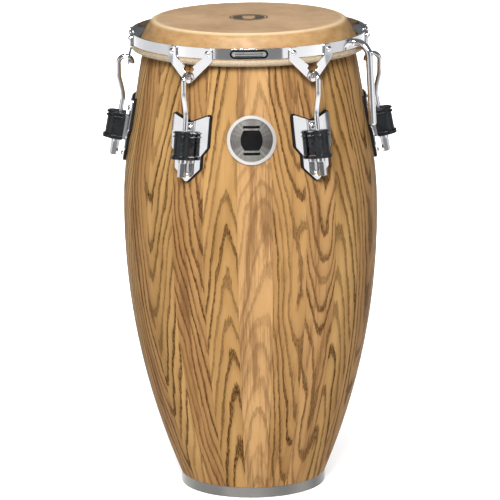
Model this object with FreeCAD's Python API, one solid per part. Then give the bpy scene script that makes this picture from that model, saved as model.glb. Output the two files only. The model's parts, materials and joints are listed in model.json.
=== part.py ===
"""A conga drum: a barrel of glued staves with a rawhide head, tuned by six hooked lugs.

Millimetres, +Z up. The origin is on the drum's axis, on the plane that it stands on.
The front faces -Y. A place round the drum is an azimuth in degrees from the front,
positive towards +X. Each fitting is built at the front and then turned to its azimuth.
"""
import FreeCAD
import Part

import math
import os

from FreeCAD import Vector

# Overall sizes
HEIGHT = 762.0
STAVE_COUNT = 23
STAVE_THICKNESS = 12.0
HEAD_END_THICKNESS = 22.0
FIRST_STAVE_AZIMUTH = 9.7
STATION_AZIMUTHS = (-29.2, 30.8, 90.8, 150.8, 210.8, 270.8)

# The barrel's outside as (height, radius), from the top of the bottom ring to the turned head end
BARREL = ((17.4, 117.4), (128.0, 156.5), (211.0, 178.0), (294.0, 193.0), (377.0, 201.5),
          (450.0, 204.0), (530.0, 200.0), (624.0, 184.5), (701.0, 171.5), (731.0, 165.0))
BEARING_EDGE_RADIUS = 9.9
BEARING_EDGE_CENTRE = Vector(148.2, 0, 750.0)

# Bottom ring
RING_RADIUS = 116.6
RING_HEIGHT = 17.0
RING_WALL = 2.6
RING_FLANGE_INNER_RADIUS = 106.0

# Head and flesh hoop
SKIN_THICKNESS = 2.0
HOOP_ROD_RADIUS = 4.5
HOOP_CENTRE = Vector(182.3, 0, 721.5)
SKIN_TUCK_ANGLE = math.radians(435.0)
SNUG_GAP = 0.1

# Rim
BAND_RADIUS = 189.0
BAND_THICKNESS = 3.0
BAND_BOTTOM = 727.0
BAND_TOP = 744.0
BAND_MIDDLE = (BAND_BOTTOM + BAND_TOP) / 2
LIP_INNER_RADIUS = 175.5
LIP_HEIGHT = 2.5
MOVING_GAP = 0.35

# V brackets that hang from the rim, their tips leaning a little outward
BRACKET_THICKNESS = 3.3
BRACKET_LEAN = 2.0
BRACKET_HALF_WIDTH = 39.5
BRACKET_TAB_WIDTH = 15.5
BRACKET_TIP = 684.0
RIVET_ANGLE = 9.6
RIVET_RADIUS = 2.5
RIVET_HEAD_RADIUS = 4.6
RIVET_HEAD_HEIGHT = 2.4

# Lugs: hooked rods whose threaded ends run down beside the barrel wall
ROD_RADIUS = 4.0
LUG_TILT = 10.5
LUG_ENTRY = Vector(0, -206.4, 613.3)
HOOK_BEND_RADIUS = 11.0
HOOK_BEND_CENTRE = Vector(0, -197.2, 691.0)
ROD_END = 68.5
ROD_WAIST = 27.5
ROD_HIP = 21.0

# Parts along a lug's tilted axis, as distances below its entry
COVER_LENGTH = 44.0
COVER_RADIUS = 13.2
COVER_BULGE = 6.0
COVER_BACK = 9.6
COVER_RIB_DEPTH = 2.2
COVER_RIB_HEIGHT = 1.6
COVER_RIB_TOPS = (1.5, 7.5)
COVER_FLANGE_DEPTH = 2.8
COVER_FLANGE_HEIGHT = 5.5
LUG_BLOCK_WIDTH = 16.0
LUG_BLOCK_TOP = 5.0
LUG_BLOCK_FRONT = 9.0
LUG_BLOCK_REACH = 40.0
NUT_TOP = 44.4
NUT_COLLAR_RADIUS = 7.6
NUT_COLLAR_HEIGHT = 5.0
NUT_FLATS = 12.0
NUT_HEIGHT = 27.0

# Side plates on their gaskets
PLATE_TOP = 637.5
GASKET_THICKNESS = 4.5
GASKET_MARGIN = 1.8
PLATE_THICKNESS = 2.2
PLATE_BOLT_DROPS = (20.0, 94.0)
BOLT_RADIUS = 3.0
BOLT_HEAD_RADIUS = 5.6
BOLT_HEAD_HEIGHT = 3.0

# Guard rod
GUARD_AZIMUTH = 60.8
GUARD_RADIUS = 5.9
GUARD_HEIGHT = 736.2
GUARD_ELBOW_RADIUS = 23.0
GUARD_ELBOW = Vector(0, -215.0, GUARD_HEIGHT)
GUARD_END = Vector(0, -221.5, 609.0)

# Badge
BADGE_AZIMUTH = 0.8
BADGE_HEIGHT = 600.0
BADGE_RADIUS = 38.7
BADGE_RIM_WIDTH = 5.4
BADGE_RIM = 2.6
BADGE_FACE = 1.3
BADGE_MARK_THICKNESS = 0.5

# Gap between pieces that touch, and how far drills and outline prisms reach through a wall
HAIRLINE = 0.02
DRILL_REACH = 30.0
PRISM_START = Vector(0, -250, 0)
PRISM_LENGTH = Vector(0, 150, 0)
LAYER_HALF_SWEEP = 25.0

ORIGIN = Vector(0, 0, 0)
UP = Vector(0, 0, 1)
OUTWARD = Vector(0, -1, 0)
SIDEWAYS = Vector(1, 0, 0)


def turned(shape, azimuth):
    """A copy of a shape built at the front, turned to its azimuth."""
    copy = shape.copy()
    copy.rotate(ORIGIN, UP, azimuth)
    return copy


def rounded(corners, closed=True):
    """Edges through (point, fillet radius) corners, with an arc at each filleted corner."""
    count = len(corners)
    entries, arcs = [], []
    for i, (point, radius) in enumerate(corners):
        at_end = not closed and i in (0, count - 1)
        if at_end or radius == 0:
            entries.append((point, point))
            arcs.append(None)
            continue
        back = (corners[i - 1][0] - point).normalize()
        ahead = (corners[(i + 1) % count][0] - point).normalize()
        half = back.getAngle(ahead) / 2
        reach = radius / math.tan(half)
        start, end = point + back * reach, point + ahead * reach
        inward = (back + ahead).normalize()
        middle = point + inward * (radius / math.sin(half) - radius)
        entries.append((start, end))
        arcs.append(Part.Arc(start, middle, end).toShape())
    edges = []
    for i in range(count):
        if arcs[i]:
            edges.append(arcs[i])
        if closed or i < count - 1:
            start, end = entries[i][1], entries[(i + 1) % count][0]
            if start.distanceToPoint(end) > 1e-6:
                edges.append(Part.LineSegment(start, end).toShape())
    return edges


def face(edges):
    return Part.Face(Part.Wire(Part.__sortEdges__(edges)))


def polygon(points):
    return Part.Face(Part.makePolygon(list(points) + [points[0]]))


def ring(points):
    """A solid of revolution from (radius, height) points."""
    return polygon([Vector(r, 0, z) for r, z in points]).revolve(ORIGIN, UP, 360)


def swept(edges, radius):
    """A round rod along a path of tangent edges."""
    path = Part.Wire(edges)
    start = path.OrderedVertexes[0].Point
    along = path.OrderedEdges[0].tangentAt(path.OrderedEdges[0].FirstParameter)
    profile = Part.Wire(Part.makeCircle(radius, start, along))
    return path.makePipeShell([profile], True, False)


def rod(base, direction, length, radius):
    return Part.makeCylinder(radius, length, base, direction)


def drill(place, out, radius):
    return rod(place - out * DRILL_REACH, out, 2 * DRILL_REACH, radius)


def dome(base, direction, radius, height):
    """A round cap of the given height on a circle of the given radius."""
    sphere_radius = (radius ** 2 + height ** 2) / (2 * height)
    centre = base + direction * (height - sphere_radius)
    ball = Part.makeSphere(sphere_radius, centre)
    return ball.common(rod(base, direction, height + 1, radius + 1))


def hexagon(base, direction, flats, height):
    """A hexagonal prism standing on base, with flats facing sideways."""
    radius = flats / math.sqrt(3)
    points = [Vector(radius * math.sin(math.radians(60 * i)), radius * math.cos(math.radians(60 * i)), 0)
              for i in range(6)]
    prism = polygon(points).extrude(UP * height)
    prism.Placement = FreeCAD.Placement(base, FreeCAD.Rotation(UP, direction))
    return prism


def barrel_curve(offset):
    """The barrel's outside as an edge at azimuth 90, moved out from the axis by offset."""
    curve = Part.BSplineCurve()
    curve.interpolate([Vector(radius + offset, 0, height) for height, radius in BARREL])
    return curve


def on_barrel(height):
    """The point on the barrel's front at a height, and the direction square out from its wall."""
    curve = barrel_curve(0)
    low, high = curve.FirstParameter, curve.LastParameter
    while high - low > 1e-9:
        middle = (low + high) / 2
        if curve.value(middle).z < height:
            low = middle
        else:
            high = middle
    along = curve.tangent(low)[0]
    return Vector(0, -curve.value(low).x, height), Vector(0, -along.z, -along.x)


def drilled(solid, drills):
    """A solid with each drill that meets it taken away."""
    for drill in drills:
        if solid.BoundBox.intersect(drill.BoundBox):
            solid = solid.cut(drill)
    return solid.Solids[0]


def barrel_layer(inner, outer):
    """The space between two offsets of the barrel's outside, over the front of the drum."""
    near, far = barrel_curve(inner), barrel_curve(outer)
    ends = [(near.value(t), far.value(t)) for t in (near.FirstParameter, near.LastParameter)]
    edges = [near.toShape(), far.toShape()] + [Part.LineSegment(a, b).toShape() for a, b in ends]
    return turned(face(edges), -90 - LAYER_HALF_SWEEP).revolve(ORIGIN, UP, 2 * LAYER_HALF_SWEEP)


def mirrored_prism(half_outline, grow=0.0):
    """A prism through the drum's front, from half an outline as (sideways, height, fillet) corners."""
    other_half = [(-u, z, radius) for u, z, radius in reversed(half_outline) if u > 0]
    corners = [(PRISM_START + Vector(u, 0, z), radius) for u, z, radius in half_outline + other_half]
    outline = Part.Wire(rounded(corners))
    if grow:
        outline = outline.makeOffset2D(grow)
    return Part.Face(outline).extrude(PRISM_LENGTH)


# ---------------------------------------------------------------- wooden shell and its ring

def stave_section():
    """A stave's section at azimuth 90. The inside of its head end is thick enough for the bearing edge."""
    outer = barrel_curve(0)
    foot, shoulder = outer.StartPoint, outer.EndPoint
    square = skin_line_angle()
    apex = around(BEARING_EDGE_CENTRE, BEARING_EDGE_RADIUS, math.pi / 2)
    inner_top = Vector(BARREL[-1][1] - HEAD_END_THICKNESS, 0, apex.z - 4)
    inner_points = [Vector(radius - STAVE_THICKNESS, 0, height) for height, radius in BARREL[:-1]]
    inner = Part.BSplineCurve()
    inner.interpolate(inner_points + [inner_top])
    seat_radius = RING_RADIUS - RING_WALL - SNUG_GAP
    seat_floor = RING_WALL + SNUG_GAP
    inner_foot = Vector(inner.StartPoint.x, 0, seat_floor)
    corners = [inner.StartPoint, inner_foot, Vector(seat_radius, 0, seat_floor),
               Vector(seat_radius, 0, foot.z), foot]
    edges = [Part.LineSegment(a, b).toShape() for a, b in zip(corners, corners[1:])]
    edges += [outer.toShape(), inner.toShape(),
              Part.LineSegment(shoulder, around(BEARING_EDGE_CENTRE, BEARING_EDGE_RADIUS, square)).toShape(),
              arc_edge(BEARING_EDGE_CENTRE, BEARING_EDGE_RADIUS, square, math.pi / 2),
              Part.LineSegment(apex, inner_top).toShape()]
    return face(edges)


def shell_staves():
    """The barrel as separate glued staves."""
    width = 360 / STAVE_COUNT
    section = turned(stave_section(), -90 + FIRST_STAVE_AZIMUTH)
    drills = [turned(drill, azimuth) for drill in plate_drills() for azimuth in STATION_AZIMUTHS]
    staves = []
    for i in range(STAVE_COUNT):
        stave = turned(section, i * width).revolve(ORIGIN, UP, width)
        staves.append(drilled(stave, drills))
    return Part.makeCompound(staves)


def bottom_ring():
    inner = RING_RADIUS - RING_WALL
    return ring([(RING_FLANGE_INNER_RADIUS, 0), (RING_RADIUS, 0), (RING_RADIUS, RING_HEIGHT),
                 (inner, RING_HEIGHT), (inner, RING_WALL), (RING_FLANGE_INNER_RADIUS, RING_WALL)])


# ---------------------------------------------------------------- head

def skin_line_angle():
    """The angle square to the skin's sloping side, which runs from the bearing edge to inside the hoop."""
    across = HOOP_CENTRE - BEARING_EDGE_CENTRE
    reach = BEARING_EDGE_RADIUS + HOOP_ROD_RADIUS + 2 * SNUG_GAP + SKIN_THICKNESS
    return math.atan2(across.z, across.x) + math.acos(reach / across.Length)


def around(centre, radius, angle):
    return centre + Vector(radius * math.cos(angle), 0, radius * math.sin(angle))


def arc_edge(centre, radius, first, last):
    points = [around(centre, radius, a) for a in (first, (first + last) / 2, last)]
    return Part.Arc(*points).toShape()


def drumhead_skin():
    """One rawhide skin: flat top, round over the bearing edge, straight down, and tucked round the hoop."""
    square = skin_line_angle()
    inside = square + math.pi
    edges, ends = [], []
    for layer in (0, SKIN_THICKNESS):
        edge_radius = BEARING_EDGE_RADIUS + SNUG_GAP + layer
        hoop_radius = HOOP_ROD_RADIUS + SNUG_GAP + SKIN_THICKNESS - layer
        flat_end = BEARING_EDGE_CENTRE + UP * edge_radius
        slope = (around(BEARING_EDGE_CENTRE, edge_radius, square), around(HOOP_CENTRE, hoop_radius, inside))
        edges += [Part.LineSegment(Vector(0, 0, flat_end.z), flat_end).toShape(),
                  arc_edge(BEARING_EDGE_CENTRE, edge_radius, math.pi / 2, square),
                  Part.LineSegment(*slope).toShape(),
                  arc_edge(HOOP_CENTRE, hoop_radius, inside, SKIN_TUCK_ANGLE)]
        ends.append((Vector(0, 0, flat_end.z), around(HOOP_CENTRE, hoop_radius, SKIN_TUCK_ANGLE)))
    edges += [Part.LineSegment(a, b).toShape() for a, b in zip(*ends)]
    return face(edges).revolve(ORIGIN, UP, 360)


def flesh_hoop():
    return Part.makeTorus(HOOP_CENTRE.x, HOOP_ROD_RADIUS, Vector(0, 0, HOOP_CENTRE.z), UP)


# ---------------------------------------------------------------- rim

def rivet_places():
    """Every rivet's azimuth, two to each V bracket."""
    return [station + side * RIVET_ANGLE for station in STATION_AZIMUTHS for side in (-1, 1)]


def rim_drills():
    band = OUTWARD * BAND_RADIUS
    rivet_drill = drill(band + UP * BAND_MIDDLE, OUTWARD, RIVET_RADIUS + SNUG_GAP)
    stud_drill = drill(band + UP * GUARD_HEIGHT, OUTWARD, BOLT_RADIUS + SNUG_GAP)
    return [turned(rivet_drill, azimuth) for azimuth in rivet_places()] + [turned(stud_drill, GUARD_AZIMUTH)]


def rim_band():
    """The flat band, with a lip near its foot that presses on the tucked skin and the hoop."""
    inner = BAND_RADIUS - BAND_THICKNESS
    lip_bottom = HOOP_CENTRE.z + HOOP_ROD_RADIUS + SNUG_GAP + SKIN_THICKNESS + MOVING_GAP
    lip_top = lip_bottom + LIP_HEIGHT
    band = ring([(LIP_INNER_RADIUS, lip_bottom), (inner, lip_bottom), (inner + 2 * MOVING_GAP, BAND_BOTTOM),
                 (BAND_RADIUS, BAND_BOTTOM), (BAND_RADIUS, BAND_TOP), (inner, BAND_TOP), (inner, lip_top),
                 (LIP_INNER_RADIUS, lip_top)])
    return drilled(band, rim_drills())


def rim_label():
    """A thin oblong plate on the front of the band."""
    half_length, half_height, thickness = 30, 7.2, 0.7
    fillet = half_height - SNUG_GAP
    half_outline = [(half_length, BAND_MIDDLE + side * half_height, fillet) for side in (-1, 1)]
    near, far = BAND_RADIUS + HAIRLINE, BAND_RADIUS + thickness
    layer = ring([(near, BAND_BOTTOM), (far, BAND_BOTTOM), (far, BAND_TOP), (near, BAND_TOP)])
    return layer.common(mirrored_prism(half_outline))


def v_bracket():
    """A curved steel V, riveted to the band by its tabs, with a notch that seats a lug's hook."""
    w, tip, top = BRACKET_HALF_WIDTH, BRACKET_TIP, BAND_TOP - 0.5
    tab, waist = w - BRACKET_TAB_WIDTH, BAND_BOTTOM + 1
    slot, seat = ROD_RADIUS + MOVING_GAP, hook_seat_height()
    half_outline = [(0, tip, 9), (w, tip + w, 3), (w, top, 7), (tab, top, 3), (tab, waist, 2),
                    (7, seat + 21, 1), (10, seat + 17, 1), (slot, seat + 9, 0), (slot, seat, slot - SNUG_GAP)]
    near, far, lean = BAND_RADIUS + HAIRLINE, BAND_RADIUS + BRACKET_THICKNESS, BRACKET_LEAN
    layer = ring([(near + lean, tip), (far + lean, tip), (far, BAND_BOTTOM), (far, BAND_TOP),
                  (near, BAND_TOP), (near, BAND_BOTTOM)])
    rivet_drill = drill(OUTWARD * BAND_RADIUS + UP * BAND_MIDDLE, OUTWARD, RIVET_RADIUS + SNUG_GAP)
    drills = [turned(rivet_drill, side * RIVET_ANGLE) for side in (-1, 1)]
    return drilled(layer.common(mirrored_prism(half_outline)), drills)


def hook_seat_height():
    """The notch's floor: just under the hook's underside where the hook crosses the bracket's back."""
    slope = BRACKET_LEAN / (BAND_BOTTOM - BRACKET_TIP)
    back = BAND_RADIUS + slope * (BAND_BOTTOM - HOOK_BEND_CENTRE.z)
    across = -HOOK_BEND_CENTRE.y - back
    underside = HOOK_BEND_RADIUS - ROD_RADIUS
    return HOOK_BEND_CENTRE.z + math.sqrt(underside ** 2 - across ** 2) - 2 * MOVING_GAP


def rim_rivets():
    rivets = []
    face_radius = BAND_RADIUS + BRACKET_THICKNESS + 0.05
    tail_radius = BAND_RADIUS - BAND_THICKNESS
    for azimuth in rivet_places():
        at = OUTWARD * (tail_radius - 1) + UP * BAND_MIDDLE
        shank = rod(at, OUTWARD, face_radius - tail_radius + 1.2, RIVET_RADIUS)
        tail = rod(at, OUTWARD, 1 - SNUG_GAP * 2, RIVET_RADIUS + 1.2)
        head = dome(OUTWARD * face_radius + UP * BAND_MIDDLE, OUTWARD, RIVET_HEAD_RADIUS, RIVET_HEAD_HEIGHT)
        rivets.append(turned(shank.fuse([tail, head]).removeSplitter(), azimuth))
    return Part.makeCompound(rivets)


def guard_rod():
    """A bent round rod bolted through the band, hanging free beside the shell."""
    start = OUTWARD * (BAND_RADIUS + 0.3) + UP * GUARD_HEIGHT
    path = rounded([(start, 0), (GUARD_ELBOW, GUARD_ELBOW_RADIUS), (GUARD_END, 0)], closed=False)
    down = (GUARD_END - GUARD_ELBOW).normalize()
    stud = rod(OUTWARD * (BAND_RADIUS - 10) + UP * GUARD_HEIGHT, OUTWARD, 12, BOLT_RADIUS)
    whole = swept(path, GUARD_RADIUS).fuse([stud, dome(GUARD_END, down, GUARD_RADIUS, 3)])
    return turned(whole, GUARD_AZIMUTH)


def guard_rod_nut():
    at = OUTWARD * (BAND_RADIUS - BAND_THICKNESS - 5.2) + UP * GUARD_HEIGHT
    nut = hexagon(at, OUTWARD, 9, 4.8).cut(rod(at - OUTWARD, OUTWARD, 10, BOLT_RADIUS + SNUG_GAP / 2))
    return turned(nut, GUARD_AZIMUTH)


# ---------------------------------------------------------------- lugs

def tilted(shape):
    """A shape built hanging down from the origin, laid along a lug's tilted axis."""
    copy = shape.copy()
    copy.rotate(ORIGIN, SIDEWAYS, -LUG_TILT)
    copy.translate(LUG_ENTRY)
    return copy


def lug_hook():
    """The rod: a U bend that hooks over the bracket, a gentle S, and a straight threaded end."""
    angle = math.radians(LUG_TILT)
    down = Vector(0, -math.sin(angle), -math.cos(angle))
    centre, bend = HOOK_BEND_CENTRE, HOOK_BEND_RADIUS
    inner_end = centre - OUTWARD * bend
    outer_end = centre + OUTWARD * bend
    u_bend = Part.Arc(outer_end, centre + UP * bend, inner_end).toShape()
    waist = LUG_ENTRY - down * ROD_WAIST
    hip = outer_end - UP * ROD_HIP
    foot = LUG_ENTRY + down * ROD_END
    run = rounded([(foot, 0), (waist, 45), (hip, 40), (outer_end, 0)], closed=False)
    tip = dome(inner_end, -UP, ROD_RADIUS, 2)
    return swept(run + [u_bend], ROD_RADIUS).fuse(tip)


def lug_nut():
    """A long hexagonal nut with a round collar that bears on the lug block."""
    top = -UP * NUT_TOP
    collar = rod(top, -UP, NUT_COLLAR_HEIGHT, NUT_COLLAR_RADIUS)
    hexagonal = hexagon(top - UP * NUT_HEIGHT, UP, NUT_FLATS, NUT_HEIGHT - NUT_COLLAR_HEIGHT)
    bore = rod(top + UP, -UP, NUT_HEIGHT + 2, ROD_RADIUS + 0.06)
    return tilted(collar.fuse(hexagonal).cut(bore))


def lug_block_shape(grow=0.0):
    half = LUG_BLOCK_WIDTH / 2 + grow
    top = -LUG_BLOCK_TOP + grow
    front = LUG_BLOCK_FRONT + grow
    bottom = -COVER_LENGTH - grow
    block = Part.makeBox(2 * half, front + LUG_BLOCK_REACH, top - bottom, Vector(-half, -front, bottom))
    return tilted(block)


def rod_hole(gap):
    return tilted(rod(ORIGIN, -UP, NUT_TOP, ROD_RADIUS + gap))


def lug_block():
    """The steel block, welded to the side plate, that the rod passes through."""
    plate_front = GASKET_THICKNESS + PLATE_THICKNESS + HAIRLINE
    beyond = barrel_layer(plate_front, plate_front + LUG_BLOCK_REACH)
    return lug_block_shape().common(beyond).cut(rod_hole(MOVING_GAP))


def lug_cover():
    """The black ribbed cover: round in front, flat sides towards the shell, a flange at its foot."""
    def layer(radius, top, bottom):
        drum = rod(Vector(0, -COVER_BULGE, -top), -UP, bottom - top, radius)
        sides = Part.makeBox(2 * radius, COVER_BULGE + COVER_BACK, bottom - top,
                             Vector(-radius, -COVER_BULGE, -bottom))
        behind = Part.makeBox(4 * radius, 2 * radius, bottom - top, Vector(-2 * radius, COVER_BACK, -bottom))
        return drum.fuse(sides).cut(behind)
    body = layer(COVER_RADIUS, 0, COVER_LENGTH)
    rims = [layer(COVER_RADIUS + COVER_RIB_DEPTH, top, top + COVER_RIB_HEIGHT) for top in COVER_RIB_TOPS]
    flange_top = COVER_LENGTH - COVER_FLANGE_HEIGHT
    rims.append(layer(COVER_RADIUS + COVER_FLANGE_DEPTH, flange_top, COVER_LENGTH))
    whole = tilted(body.fuse(rims).removeSplitter())
    return whole.cut(lug_block_shape(grow=SNUG_GAP)).cut(rod_hole(MOVING_GAP + SNUG_GAP))


# ---------------------------------------------------------------- side plates

def plate_prism(grow=0.0):
    """The shield outline: a shallow V cut in its top edge, square shoulders, and a narrow pointed foot."""
    top, half_width, half_foot = PLATE_TOP, 32.5, 22.5
    half_outline = [(0, top - 13, 8), (half_width, top, 3), (half_width, top - 50, 3),
                    (half_foot, top - 63, 4), (half_foot, top - 83, 5), (0, top - 105, 5)]
    return mirrored_prism(half_outline, grow)


def plate_drills():
    """Drills for one plate's two bolts, square to the barrel's wall."""
    return [drill(*on_barrel(PLATE_TOP - drop), BOLT_RADIUS + 2 * SNUG_GAP) for drop in PLATE_BOLT_DROPS]


def plate_gasket():
    layer = barrel_layer(HAIRLINE, GASKET_THICKNESS)
    return drilled(layer.common(plate_prism(GASKET_MARGIN)), plate_drills())


def side_plate():
    layer = barrel_layer(GASKET_THICKNESS + HAIRLINE, GASKET_THICKNESS + PLATE_THICKNESS)
    return drilled(layer.common(plate_prism()), plate_drills())


def each_bolt(build):
    """One solid per plate bolt, built at the front by build(place, out), at every station."""
    solids = []
    for drop in PLATE_BOLT_DROPS:
        solid = build(*on_barrel(PLATE_TOP - drop))
        solids += [turned(solid, azimuth) for azimuth in STATION_AZIMUTHS]
    return Part.makeCompound(solids)


def plate_bolt(place, out):
    head_seat = place + out * (GASKET_THICKNESS + PLATE_THICKNESS + 0.1)
    length = GASKET_THICKNESS + PLATE_THICKNESS + STAVE_THICKNESS + 9
    shank = rod(head_seat + out * 0.5, -out, length, BOLT_RADIUS)
    return shank.fuse(dome(head_seat, out, BOLT_HEAD_RADIUS, BOLT_HEAD_HEIGHT))


def plate_bolt_washer(place, out):
    seat = place - out * (STAVE_THICKNESS + 0.2)
    return rod(seat, -out, 1.2, 7).cut(rod(seat + out, -out, 4, BOLT_RADIUS + 0.1))


def plate_bolt_nut(place, out):
    seat = place - out * (STAVE_THICKNESS + 1.6)
    return hexagon(seat, -out, 10, 5).cut(rod(seat + out, -out, 8, BOLT_RADIUS + 0.05))


# ---------------------------------------------------------------- badge

def badge_disc(radius, near, far):
    disc = barrel_layer(near, far).common(drill(*on_barrel(BADGE_HEIGHT), radius))
    return turned(disc, BADGE_AZIMUTH)


def badge_plate():
    """A round plate bent to the barrel, with a raised rim."""
    recess = badge_disc(BADGE_RADIUS - BADGE_RIM_WIDTH, BADGE_FACE, BADGE_RIM + 1)
    return badge_disc(BADGE_RADIUS, HAIRLINE, BADGE_RIM).cut(recess)


def badge_mark():
    """A plain emblem on the badge: a little barrel with a bar above and below it."""
    tall, half_top, half_bulge, half_bottom = 31, 12, 17, 11
    bar_length, bar_height, gap = 26, 4, 3
    base = PRISM_START + UP * (BADGE_HEIGHT - tall / 2)
    sides, ends = [], []
    for side in (-1, 1):
        bulge = Vector(side * half_bulge, 0, tall * 0.6)
        corner_low, corner_high = Vector(side * half_bottom, 0, 0), Vector(side * half_top, 0, tall)
        sides.append(Part.Arc(base + corner_low, base + bulge, base + corner_high).toShape())
    for half, height in ((half_bottom, 0), (half_top, tall)):
        left, right = Vector(-half, 0, height), Vector(half, 0, height)
        ends.append(Part.LineSegment(base + left, base + right).toShape())
    prisms = [face(sides + ends).extrude(PRISM_LENGTH)]
    for height in (-gap - bar_height, tall + gap):
        corner = base + Vector(-bar_length / 2, 0, height)
        prisms.append(Part.makeBox(bar_length, PRISM_LENGTH.y, bar_height, corner))
    layer = barrel_layer(BADGE_FACE + HAIRLINE, BADGE_FACE + BADGE_MARK_THICKNESS)
    return turned(Part.makeCompound([layer.common(prism) for prism in prisms]), BADGE_AZIMUTH)


def sub_parts():
    """Every piece, by the name of its node."""
    pieces = {
        "shell_staves": shell_staves(),
        "bottom_ring": bottom_ring(),
        "drumhead_skin": drumhead_skin(),
        "flesh_hoop": flesh_hoop(),
        "rim_band": rim_band(),
        "rim_label": rim_label(),
        "rim_rivets": rim_rivets(),
        "guard_rod": guard_rod(),
        "guard_rod_nut": guard_rod_nut(),
        "badge_plate": badge_plate(),
        "badge_mark": badge_mark(),
        "plate_bolts": each_bolt(plate_bolt),
        "plate_bolt_washers": each_bolt(plate_bolt_washer),
        "plate_bolt_nuts": each_bolt(plate_bolt_nut),
    }
    station_pieces = {
        "v_bracket": v_bracket(),
        "lug_hook": lug_hook(),
        "lug_nut": lug_nut(),
        "lug_block": lug_block(),
        "lug_cover": lug_cover(),
        "side_plate": side_plate(),
        "plate_gasket": plate_gasket(),
    }
    for number, azimuth in enumerate(STATION_AZIMUTHS, start=1):
        for name, shape in station_pieces.items():
            pieces[f"{name}_{number}"] = turned(shape, azimuth)
    return pieces


def main():
    os.makedirs("parts", exist_ok=True)
    for node, shape in sub_parts().items():
        shape.exportStep(f"parts/{node}.step")


main()
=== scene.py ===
"""A conga drum in a plain studio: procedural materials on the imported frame's own pieces."""
import json
import math

import bpy
from mathutils import Matrix, Vector


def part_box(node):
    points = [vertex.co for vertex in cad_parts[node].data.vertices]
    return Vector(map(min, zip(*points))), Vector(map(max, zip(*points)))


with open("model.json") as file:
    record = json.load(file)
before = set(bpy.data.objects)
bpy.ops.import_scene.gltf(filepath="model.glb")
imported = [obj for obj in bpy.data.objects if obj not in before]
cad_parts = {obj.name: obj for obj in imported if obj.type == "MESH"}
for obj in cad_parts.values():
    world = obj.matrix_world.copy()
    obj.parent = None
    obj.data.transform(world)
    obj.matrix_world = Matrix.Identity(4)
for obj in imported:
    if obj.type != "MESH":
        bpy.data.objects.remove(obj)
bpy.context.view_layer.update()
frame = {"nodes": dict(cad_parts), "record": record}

# The shell's staves: azimuths are in degrees from the front (-Y), positive towards +X
STAVE_COUNT = 23
FIRST_STAVE_AZIMUTH = 9.7
PALE_STAVE = 22

# The wood's growth rings, in metres where they are lengths. A pair holds a stave's least and greatest value.
RING_SPACING = (0.00396, 0.01056)
HEART_OFFSET = (-0.034, 0.034)
HEART_DEPTH = (0.005, 0.020)
HEART_LEAN = (0.07, 0.20)
RING_UNREST = (0.025, 0.085)

# The head: where its top starts to round over the shell, and its roll's top above the skin's lower end
BEARING_EDGE_RADIUS = 0.1482
ROLL_TOP = 0.013

# The badge's brushed face, which ends at its raised rim
BADGE_FACE_RADIUS = 0.0333

# The band's label: its border line and the stripes inside it
LABEL_BORDER_INSET = 0.0017
LABEL_STRIPE_PITCH = 0.0034
LABEL_STRIPE_END = 0.0085
LABEL_STRIPES_HALF_HEIGHT = 0.0038

# The print on the head's middle
PRINT_RADIUS = 0.031
PRINT_RING_RADIUS = 0.0272
PRINT_DRUM_HALF_HEIGHT = 0.0135
PRINT_DRUM_HALF_WIDTH = 0.0105
PRINT_BAR_OFFSET = 0.0175

# How far edges are rounded in the shading, in metres
METAL_EDGE = 0.0006
MOULDED_EDGE = 0.0008
ENAMEL_EDGE = 0.0003

# Camera: a long lens, a little above the drum and looking down at it
CAMERA_ELEVATION = 13.0
CAMERA_DISTANCE = 6.2
CAMERA_AIM = Vector((0, 0, 0.381))
CAMERA_LENS = 276.6
CAMERA_ROLL = -0.6
CAMERA_SHIFT = (-0.0021, 0.0009)

# Stage: the floor's glow fades towards the front, between two places along Y, so the chrome has dark streaks
FLOOR_REACH = 30.0
GLOW_FADE = (-2.2, -0.4)
GLOW_STRENGTH = (0.16, 0.68)
WORLD_STRENGTH = 0.17

# A high key lamp, two low cards for the side plates, and two narrow lamps that whiten the backdrop:
# name, place, aim, size, watts and spread in degrees
SOFTBOXES = (
    ("key_softbox", (-0.2, -2.7, 2.3), (0, 0, 0.5), (1.1, 1.1), 41, 80),
    ("left_card", (-2.6, -1.95, 0.9), (0, 0, 0.6), (2.6, 1.8), 12, 180),
    ("right_card", (2.6, -1.95, 0.9), (0, 0, 0.6), (2.6, 1.8), 12, 180),
    ("near_backdrop_softbox", (0, 2.0, 2.8), (0, 2.0, 0), (2.6, 1.6), 50, 70),
    ("far_backdrop_softbox", (0, 4.6, 3.0), (0, 4.8, 0), (3.0, 2.4), 140, 110),
)


def srgb(red, green, blue):
    """A linear colour from 0-255 display values."""
    def linear(value):
        value /= 255
        return value / 12.92 if value <= 0.04045 else ((value + 0.055) / 1.055) ** 2.4
    return (linear(red), linear(green), linear(blue), 1.0)


def grey(value):
    return (value, value, value, 1.0)


# ---------------------------------------------------------------- node graphs

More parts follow.
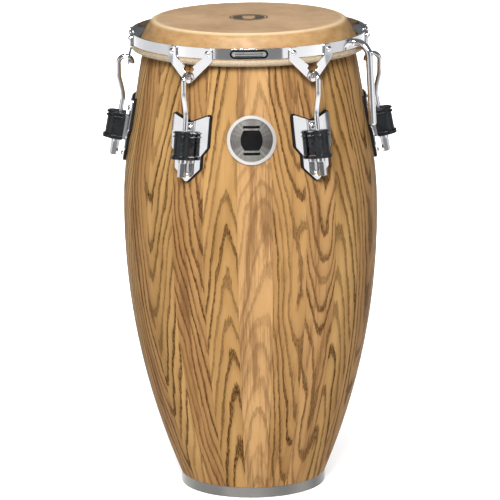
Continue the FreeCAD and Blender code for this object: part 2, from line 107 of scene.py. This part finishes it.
class Graph:
    """A material's node tree, built from short calls that each return an output socket."""

    def __init__(self, name):
        self.material = bpy.data.materials.new(name)
        self.material.use_nodes = True
        self.tree = self.material.node_tree
        self.tree.nodes.clear()
        output = self.tree.nodes.new("ShaderNodeOutputMaterial")
        self.shader = self.tree.nodes.new("ShaderNodeBsdfPrincipled")
        self.tree.links.new(self.shader.outputs[0], output.inputs["Surface"])

    def put(self, value, socket):
        """Link another node's output to a socket, or set the socket to a constant."""
        if isinstance(value, bpy.types.NodeSocket):
            self.tree.links.new(value, socket)
        else:
            socket.default_value = value

    def set(self, **values):
        """Sockets of the Principled shader, by name with underscores for spaces."""
        for name, value in values.items():
            self.put(value, self.shader.inputs[name.replace("_", " ")])

    def position(self):
        """A point of the surface in its piece's coordinates, in metres, so a pattern moves with the piece."""
        return self.tree.nodes.new("ShaderNodeTexCoord").outputs["Object"]

    def split(self, vector):
        """A vector's three parts."""
        node = self.tree.nodes.new("ShaderNodeSeparateXYZ")
        self.put(vector, node.inputs[0])
        return node.outputs[0], node.outputs[1], node.outputs[2]

    def join(self, x, y, z):
        """A vector from three parts."""
        node = self.tree.nodes.new("ShaderNodeCombineXYZ")
        for value, socket in zip((x, y, z), node.inputs):
            self.put(value, socket)
        return node.outputs[0]

    def math(self, operation, *values):
        node = self.tree.nodes.new("ShaderNodeMath")
        node.operation = operation
        for value, socket in zip(values, node.inputs):
            self.put(value, socket)
        return node.outputs[0]

    def add(self, a, b):
        return self.math("ADD", a, b)

    def times(self, a, b):
        return self.math("MULTIPLY", a, b)

    def length(self, *parts):
        """The length of the vector with these parts."""
        node = self.tree.nodes.new("ShaderNodeVectorMath")
        node.operation = "LENGTH"
        self.put(self.join(*parts), node.inputs[0])
        return node.outputs["Value"]

    def scaled(self, vector, factors):
        """A vector with each part multiplied by its own factor."""
        node = self.tree.nodes.new("ShaderNodeVectorMath")
        node.operation = "MULTIPLY"
        self.put(vector, node.inputs[0])
        node.inputs[1].default_value = factors
        return node.outputs[0]

    def noise(self, vector, scale, detail=3.0, roughness=0.55):
        node = self.tree.nodes.new("ShaderNodeTexNoise")
        self.put(vector, node.inputs["Vector"])
        node.inputs["Scale"].default_value = scale
        node.inputs["Detail"].default_value = detail
        node.inputs["Roughness"].default_value = roughness
        return node.outputs["Fac"]

    def random(self, number):
        """Three random values for each whole number."""
        node = self.tree.nodes.new("ShaderNodeTexWhiteNoise")
        node.noise_dimensions = "1D"
        self.put(number, node.inputs["W"])
        return self.split(node.outputs["Color"])

    def spread(self, value, low, high, new_low=0.0, new_high=1.0):
        """A value's range stretched to a new range, and clamped to it."""
        node = self.tree.nodes.new("ShaderNodeMapRange")
        for number, socket in zip((value, low, high, new_low, new_high), node.inputs):
            self.put(number, socket)
        return node.outputs[0]

    def ramp(self, value, *stops):
        """A colour ramp over a value from 0 to 1, from (place, colour) stops."""
        node = self.tree.nodes.new("ShaderNodeValToRGB")
        elements = node.color_ramp.elements
        while len(elements) < len(stops):
            elements.new(1.0)
        for element, (place, colour) in zip(elements, stops):
            element.position = place
            element.color = colour
        self.put(value, node.inputs[0])
        return node.outputs["Color"]

    def mix(self, factor, a, b):
        """A blend of two colours: the first at 0 and the second at 1."""
        node = self.tree.nodes.new("ShaderNodeMix")
        node.data_type = "RGBA"
        self.put(factor, node.inputs[0])
        self.put(a, node.inputs[6])
        self.put(b, node.inputs[7])
        return node.outputs[2]

    def bump(self, height, distance, strength, rounded=0.0):
        """The shader's normal from a height, on edges softened by the radius given."""
        node = self.tree.nodes.new("ShaderNodeBump")
        node.inputs["Distance"].default_value = distance
        node.inputs["Strength"].default_value = strength
        self.put(height, node.inputs["Height"])
        if rounded:
            self.put(self.bevel(rounded), node.inputs["Normal"])
        self.put(node.outputs[0], self.shader.inputs["Normal"])

    def bevel(self, radius):
        """A normal that rounds sharp edges to the radius given."""
        node = self.tree.nodes.new("ShaderNodeBevel")
        node.samples = 4
        node.inputs["Radius"].default_value = radius
        return node.outputs[0]


# ---------------------------------------------------------------- materials

class Stave:
    """The stave that a point of the shell lies on, the point's place on it, and the stave's random values."""

    def __init__(self, g):
        self.graph = g
        x, y, self.height = g.split(g.position())
        radius = g.length(x, y, 0.0)
        azimuth = g.math("DEGREES", g.math("ARCTAN2", x, g.times(y, -1.0)))
        width = 360 / STAVE_COUNT
        count = g.math("DIVIDE", g.add(azimuth, 360 - FIRST_STAVE_AZIMUTH), width)
        self.index = g.math("FLOOR", count)
        self.share = g.add(g.math("SUBTRACT", count, self.index), -0.5)
        self.across = g.times(g.times(self.share, math.radians(width)), radius)
        self.pale = g.math("COMPARE", self.index, PALE_STAVE, 0.5)
        self.shift, self.steep, self.tone = g.random(self.index)
        self.way, self.depth, self.unrest = g.random(g.add(self.index, 57.3))

    def noise(self, across_scale, height_scale, detail, roughness=0.55, seed_scale=1.0):
        """Noise drawn out along the stave, different on each: scales are features to a metre."""
        g = self.graph
        seed = g.times(self.index, seed_scale)
        place = g.join(g.times(self.across, across_scale), seed, g.times(self.height, height_scale))
        return g.noise(place, 1.0, detail, roughness)


def growth_lines(g, stave):
    """Dark lines where growth rings meet the surface, nested about the stave's own leaning heart line."""
    slow = g.add(stave.noise(9.0, 2.6, 2.0, seed_scale=3.7), -0.5)
    wave = g.add(stave.noise(40.0, 13.0, 2.0), -0.5)
    lateral = g.add(g.add(stave.across, g.spread(stave.shift, 0.0, 1.0, *HEART_OFFSET)), g.times(slow, 0.02))
    from_heart = g.length(lateral, g.spread(stave.depth, 0.0, 1.0, *HEART_DEPTH), 0.0)
    up_or_down = g.add(g.times(g.math("GREATER_THAN", stave.way, 0.5), 2.0), -1.0)
    lean = g.times(up_or_down, g.spread(stave.steep, 0.0, 1.0, *HEART_LEAN))
    warp = g.add(g.times(slow, g.spread(stave.unrest, 0.0, 1.0, *RING_UNREST)), g.times(wave, 0.009))
    growth = g.add(g.add(g.times(from_heart, 0.8), g.times(stave.height, lean)), warp)

    jagged = stave.noise(700.0, 20.0, 3.0, 0.65)
    years = g.math("DIVIDE", growth, g.spread(stave.tone, 0.0, 1.0, *RING_SPACING))
    years = g.add(years, g.times(jagged, 0.5))
    early_to_late = g.ramp(g.math("FRACT", years), (0.0, grey(0.6)), (0.05, grey(0.02)), (0.34, grey(0.0)),
                           (0.66, grey(0.24)), (0.73, grey(0.95)), (0.97, grey(1.0)))
    line = g.times(early_to_late, g.spread(stave.pale, 0.0, 1.0, 1.0, 0.45))
    year = g.noise(g.join(g.math("FLOOR", years), stave.index, g.times(stave.height, 1.6)), 1.3)
    line = g.times(line, g.spread(year, 0.35, 0.6, 0.45, 1.0))
    stipple = stave.noise(620.0, 150.0, 2.0)
    return g.times(line, g.spread(stipple, 0.35, 0.6, 0.55, 1.0))


def clear_wood(g, stave, broad):
    """The wood between the lines: mottled, and pinkish, brown or light on a stave here and there."""
    clear = g.mix(g.spread(broad, 0.3, 0.7), srgb(166, 131, 84), srgb(130, 98, 58))
    clear = g.mix(g.spread(stave.depth, 0.6, 1.0, 0.0, 0.4), clear, srgb(162, 122, 86))
    clear = g.mix(g.spread(stave.shift, 0.0, 0.5, 0.35, 0.0), clear, srgb(118, 82, 46))
    clear = g.mix(g.spread(stave.steep, 0.6, 1.0, 0.0, 0.45), clear, srgb(178, 142, 94))
    return g.mix(g.times(stave.pale, 0.35), clear, srgb(176, 140, 98))


def smears(g, stave):
    """Long brown smears, on the pale stave and on the more unrestful of the others."""
    cloud = stave.noise(60.0, 5.0, 5.0, 0.7)
    streak = stave.noise(900.0, 18.0, 3.0)
    level = g.add(g.add(cloud, g.times(streak, 0.3)), g.times(stave.pale, 0.06))
    smeared = g.math("GREATER_THAN", g.add(stave.unrest, stave.pale), 0.35)
    return g.times(g.spread(level, 0.66, 0.80), smeared)


def stave_wood():
    """Plain-sawn ash staves: each has its own nested grain, tone, smears and pores, and the seams show."""
    g = Graph("stave_wood")
    stave = Stave(g)
    line = growth_lines(g, stave)
    broad = stave.noise(26.0, 4.0, 4.0)
    wood = g.mix(line, clear_wood(g, stave, broad), srgb(50, 26, 8))
    wood = g.mix(g.times(smears(g, stave), 0.65), wood, srgb(88, 58, 36))
    pores = g.spread(stave.noise(1500.0, 45.0, 2.0), 0.58, 0.74)
    wood = g.mix(g.times(pores, g.add(g.times(line, 0.3), 0.2)), wood, srgb(96, 62, 34))
    seam = g.spread(g.math("ABSOLUTE", stave.share), 0.4925, 0.4985)
    wood = g.mix(g.times(seam, 0.2), wood, srgb(80, 52, 30))

    rough = g.add(g.times(broad, 0.10), g.times(line, 0.05))
    g.set(Base_Color=wood, Roughness=g.add(rough, 0.38), Specular_IOR_Level=0.01)
    height = g.add(g.times(pores, -0.5), g.add(g.times(seam, -1.0), g.times(line, -0.3)))
    g.bump(height, 0.00025, 0.5)
    return g.material


def rawhide():
    """Stretched rawhide: cloudy on top, yellower on the slope with a painted highlight along the bearing
    edge, and grey and fibrous on the roll below it.
    """
    g = Graph("rawhide")
    place = g.position()
    x, y, z = g.split(place)
    radius = g.length(x, y, 0.0)
    azimuth = g.math("ARCTAN2", x, g.times(y, -1.0))
    clouds = g.noise(place, 9.0, detail=5.0, roughness=0.6)
    stains = g.noise(g.scaled(place, (1.0, 1.0, 2.0)), 38.0, detail=4.0, roughness=0.6)
    fine = g.noise(place, 900.0, detail=2.0)
    round_the_roll = g.join(g.times(azimuth, 14.0), g.times(radius, 55.0), g.times(z, 55.0))
    fibres = g.noise(round_the_roll, 6.0, detail=4.0, roughness=0.7)

    top = g.mix(g.spread(clouds, 0.35, 0.65), srgb(196, 164, 129), srgb(170, 138, 104))
    slope = g.mix(g.spread(stains, 0.35, 0.7), srgb(164, 132, 90), srgb(140, 106, 66))
    roll = g.mix(g.spread(fibres, 0.35, 0.65), srgb(168, 153, 130), srgb(128, 113, 92))
    beyond = g.add(radius, -BEARING_EDGE_RADIUS)
    skin = g.mix(g.spread(beyond, -0.003, 0.005), top, slope)
    # Painted highlight: a lighter band along the bearing edge, where the skin rounds over the shell
    edge_highlight = g.times(g.spread(beyond, -0.004, 0.002), g.spread(beyond, 0.009, 0.004))
    skin = g.mix(edge_highlight, skin, srgb(212, 186, 148))
    low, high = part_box("drumhead_skin")
    roll_top = low.z + ROLL_TOP
    skin = g.mix(g.spread(z, roll_top, roll_top - 0.005), skin, roll)
    skin = g.mix(g.times(g.spread(stains, 0.58, 0.8), 0.4), skin, srgb(160, 116, 74))
    skin = g.mix(ink_mask(g, x, y, radius, fine), skin, srgb(58, 56, 50))

    g.set(Base_Color=skin, Roughness=g.spread(stains, 0.2, 0.8, 0.42, 0.62), Specular_IOR_Level=0.35,
          Subsurface_Weight=0.08, Subsurface_Scale=0.004)
    roll_relief = g.times(g.times(fibres, g.spread(z, roll_top, roll_top - 0.007)), 3.0)
    g.bump(g.add(g.times(fine, 0.25), g.add(g.times(stains, 0.5), roll_relief)), 0.0006, 0.5)
    return g.material


def ink_mask(g, x, y, radius, fine):
    """The print on the head's middle: a disc that leaves out a ring and a plain drum between two bars."""
    off_axis = g.math("ABSOLUTE", x)
    off_middle = g.math("ABSOLUTE", y)
    disc = g.spread(g.add(radius, -PRINT_RADIUS), 0.0003, -0.0003)
    ring = g.spread(g.math("ABSOLUTE", g.add(radius, -PRINT_RING_RADIUS)), 0.0012, 0.0008)
    taper = g.times(g.math("POWER", g.math("ABSOLUTE", g.add(y, -0.003)), 2.0), -22.0)
    half_width = g.add(taper, PRINT_DRUM_HALF_WIDTH)
    drum = g.spread(g.math("SUBTRACT", off_axis, half_width), 0.0004, -0.0004)
    ends = g.add(off_middle, -PRINT_DRUM_HALF_HEIGHT)
    drum = g.times(drum, g.spread(ends, 0.0003, -0.0003))
    bars = g.spread(g.math("ABSOLUTE", g.add(off_middle, -PRINT_BAR_OFFSET)), 0.0014, 0.0010)
    bars = g.times(bars, g.spread(off_axis, 0.0115, 0.0110))
    left_out = g.math("MAXIMUM", ring, g.math("MAXIMUM", drum, bars))
    worn = g.spread(fine, 0.30, 0.42, 0.6, 0.92)
    return g.times(g.times(disc, g.math("SUBTRACT", 1.0, left_out)), worn)


def metal(name, colour, roughness, grain=(1.0, 1.0, 1.0), grain_depth=0.0, darkening=0.0):
    """A bare or plated metal: smudges, faint scratches and rounded edges, with stretches darkened towards
    near black when the last argument is above 0.
    """
    g = Graph(name)
    place = g.position()
    smudge = g.noise(place, 22.0, detail=4.0)
    scratches = g.noise(g.scaled(place, grain), 900.0, detail=2.0)
    tint = g.mix(g.spread(smudge, 0.35, 0.75), colour, tuple(0.9 * c for c in colour[:3]) + (1.0,))
    # Stretches of the base colour darkened towards near black, by the share given as the last argument
    dark_stretches = g.noise(g.scaled(place, (1.0, 1.0, 0.3)), 11.0, detail=1.0)
    tint = g.mix(g.times(g.spread(dark_stretches, 0.42, 0.62), darkening), tint, grey(0.1))
    g.set(Base_Color=tint, Metallic=1.0, Roughness=g.spread(smudge, 0.3, 0.75, roughness, roughness + 0.06))
    g.bump(scratches, 0.0002, grain_depth + 0.01, METAL_EDGE)
    return g.material


def badge_steel():
    """Round-brushed steel: fine circles about the badge's centre, a soft painted sheen radiating from it, and
    a paler matt rim.
    """
    g = Graph("badge_steel")
    low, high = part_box("badge_plate")
    centre = (low + high) / 2
    x, y, z = g.split(g.position())
    across = g.add(x, -centre.x)
    up = g.add(z, -centre.z)
    reach = g.length(across, up, 0.0)
    turn = g.math("ARCTAN2", up, across)
    round_the_centre = g.join(g.times(g.math("COSINE", g.times(turn, 2.0)), 1.4), g.math("SINE", turn), 0.0)
    # Painted sheen: the face is lighter and darker by angle about the centre, standing in for the light that
    # round brushing catches
    sheen_rays = g.noise(round_the_centre, 1.3, detail=1.0)
    brushing = g.noise(g.join(g.times(reach, 2600.0), g.times(turn, 1.5), 0.0), 1.0, detail=2.0)
    face = g.mix(g.spread(sheen_rays, 0.35, 0.65), srgb(104, 102, 98), srgb(62, 60, 57))
    face = g.mix(g.times(g.spread(brushing, 0.35, 0.7), 0.3), face, srgb(128, 125, 122))
    on_rim = g.spread(g.add(reach, -BADGE_FACE_RADIUS), -0.0003, 0.0003)
    face = g.mix(on_rim, face, srgb(150, 147, 144))
    g.set(Base_Color=face, Metallic=1.0, Roughness=g.spread(on_rim, 0.0, 1.0, 0.4, 0.55))
    g.bump(brushing, 0.0001, 0.25, METAL_EDGE)
    return g.material


def label_metal():
    """A plain label plate: a dark border line and generic dark stripes, with no lettering."""
    g = Graph("label_metal")
    low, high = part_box("rim_label")
    centre = (low + high) / 2
    x, y, z = g.split(g.position())
    across = g.math("ABSOLUTE", g.add(x, -centre.x))
    up = g.math("ABSOLUTE", g.add(z, -centre.z))
    half_height = (high.z - low.z) / 2
    half_length = (high.x - low.x) / 2
    beyond = g.math("MAXIMUM", g.add(across, half_height - half_length), 0.0)
    reach = g.length(beyond, up, 0.0)
    border = g.spread(g.math("ABSOLUTE", g.add(reach, LABEL_BORDER_INSET - half_height)), 0.0017, 0.0014)
    stripe = g.math("ABSOLUTE", g.add(g.math("FRACT", g.times(z, 1 / LABEL_STRIPE_PITCH)), -0.5))
    stripe_end = half_length - LABEL_STRIPE_END
    stripes = g.times(g.spread(stripe, 0.22, 0.16), g.spread(across, stripe_end + 0.0005, stripe_end))
    stripes = g.times(stripes, g.spread(g.add(up, -LABEL_STRIPES_HALF_HEIGHT), 0.0002, -0.0002))
    marks = g.math("MAXIMUM", border, stripes)
    smudge = g.noise(g.position(), 60.0)
    plate = g.mix(smudge, srgb(214, 213, 212), srgb(190, 189, 190))
    g.set(Base_Color=g.mix(marks, plate, srgb(24, 24, 26)), Metallic=0.9,
          Roughness=g.spread(smudge, 0.3, 0.7, 0.24, 0.34))
    return g.material


def moulded(name, colour, roughness, grain_scale, depth, specular):
    """Moulded plastic or rubber: a fine texture, and dusty patches that are a little lighter."""
    g = Graph(name)
    place = g.position()
    texture = g.noise(place, grain_scale, detail=2.0)
    dust = g.noise(place, 55.0, detail=4.0)
    lighter = tuple(c * 1.9 + 0.01 for c in colour[:3]) + (1.0,)
    g.set(Base_Color=g.mix(g.spread(dust, 0.45, 0.8, 0.0, 0.4), colour, lighter),
          Roughness=g.spread(dust, 0.3, 0.7, roughness, roughness + 0.15), Specular_IOR_Level=specular)
    g.bump(texture, 0.0004, depth, MOULDED_EDGE)
    return g.material


def enamel():
    """Black filled enamel on the badge, dulled by fine dust."""
    g = Graph("black_enamel")
    dust = g.noise(g.position(), 120.0, detail=3.0)
    g.set(Base_Color=g.mix(dust, srgb(5, 5, 6), srgb(12, 12, 13)), Specular_IOR_Level=0.06,
          Roughness=g.spread(dust, 0.3, 0.7, 0.25, 0.4))
    g.bump(dust, 0.0001, 0.1, ENAMEL_EDGE)
    return g.material


def materials():
    """One material for each of the record's slots."""
    return {
        "stave_wood": stave_wood(),
        "rawhide": rawhide(),
        "chrome": metal("chrome", srgb(240, 240, 242), 0.06),
        "plain_steel": metal("plain_steel", srgb(176, 176, 178), 0.3),
        "ring_steel": metal("ring_steel", srgb(128, 127, 124), 0.2, (0.15, 0.15, 3.0), 0.15, darkening=0.8),
        "badge_steel": badge_steel(),
        "label_metal": label_metal(),
        "black_enamel": enamel(),
        "black_cover": moulded("black_cover", srgb(10, 13, 16), 0.2, 1400.0, 0.12, specular=0.4),
        "black_rubber": moulded("black_rubber", srgb(10, 10, 11), 0.6, 900.0, 0.25, specular=0.15),
    }


def paint_nodes(slots):
    """Put each slot's material on the CAD pieces that the record gives it."""
    for part in frame["record"]["subparts"]:
        node = frame["nodes"][part["node"]]
        for place in node.material_slots:
            place.material = slots[part["material_slot"]]


# ---------------------------------------------------------------- stage

def floor():
    """A plain pale floor with a painted glow, strongest behind the drum and fading towards the front."""
    mesh = bpy.data.meshes.new("floor")
    corners = ((-1, -1), (1, -1), (1, 1), (-1, 1))
    mesh.from_pydata([(FLOOR_REACH * x, FLOOR_REACH * y, 0) for x, y in corners], [], [(0, 1, 2, 3)])
    plane = bpy.data.objects.new("floor", mesh)
    bpy.context.collection.objects.link(plane)
    g = Graph("floor_paint_and_glow")
    place = g.position()
    grain = g.noise(place, 60.0)
    x, y, z = g.split(place)
    # Painted light: the floor glows, strongest behind the drum and fainter towards the front, so the chrome
    # shows dark streaks
    g.set(Base_Color=g.mix(grain, srgb(196, 196, 196), srgb(192, 192, 192)), Roughness=0.9,
          Emission_Color=srgb(255, 255, 255), Emission_Strength=g.spread(y, *GLOW_FADE, *GLOW_STRENGTH))
    mesh.materials.append(g.material)


def softbox(name, place, aim, size, watts, spread):
    data = bpy.data.lights.new(name, "AREA")
    data.shape = "RECTANGLE"
    data.size, data.size_y = size
    data.energy = watts
    data.spread = math.radians(spread)
    lamp = bpy.data.objects.new(name, data)
    lamp.location = place
    lamp.rotation_mode = "QUATERNION"
    lamp.rotation_quaternion = (Vector(aim) - Vector(place)).to_track_quat("-Z", "Y")
    bpy.context.collection.objects.link(lamp)


def lights():
    """The softboxes, and a faint even light from all round."""
    for row in SOFTBOXES:
        softbox(*row)
    world = bpy.data.worlds.new("studio")
    world.use_nodes = True
    background = world.node_tree.nodes["Background"]
    background.inputs["Color"].default_value = srgb(238, 240, 242)
    background.inputs["Strength"].default_value = WORLD_STRENGTH
    bpy.context.scene.world = world


def camera():
    """The photographer's place: in front, a little above, and far off."""
    data = bpy.data.cameras.new("camera")
    data.lens = CAMERA_LENS
    data.sensor_width = 36.0
    data.shift_x, data.shift_y = CAMERA_SHIFT
    data.clip_end = 100.0
    eye = bpy.data.objects.new("camera", data)
    elevation = math.radians(CAMERA_ELEVATION)
    back = Vector((0, -math.cos(elevation), math.sin(elevation)))
    eye.location = CAMERA_AIM + back * CAMERA_DISTANCE
    eye.rotation_mode = "QUATERNION"
    roll = Matrix.Rotation(math.radians(CAMERA_ROLL), 3, "Z").to_quaternion()
    eye.rotation_quaternion = (-back).to_track_quat("-Z", "Y") @ roll
    bpy.context.collection.objects.link(eye)
    bpy.context.scene.camera = eye


paint_nodes(materials())
floor()
lights()
camera()
bpy.context.scene.view_settings.view_transform = "Standard"
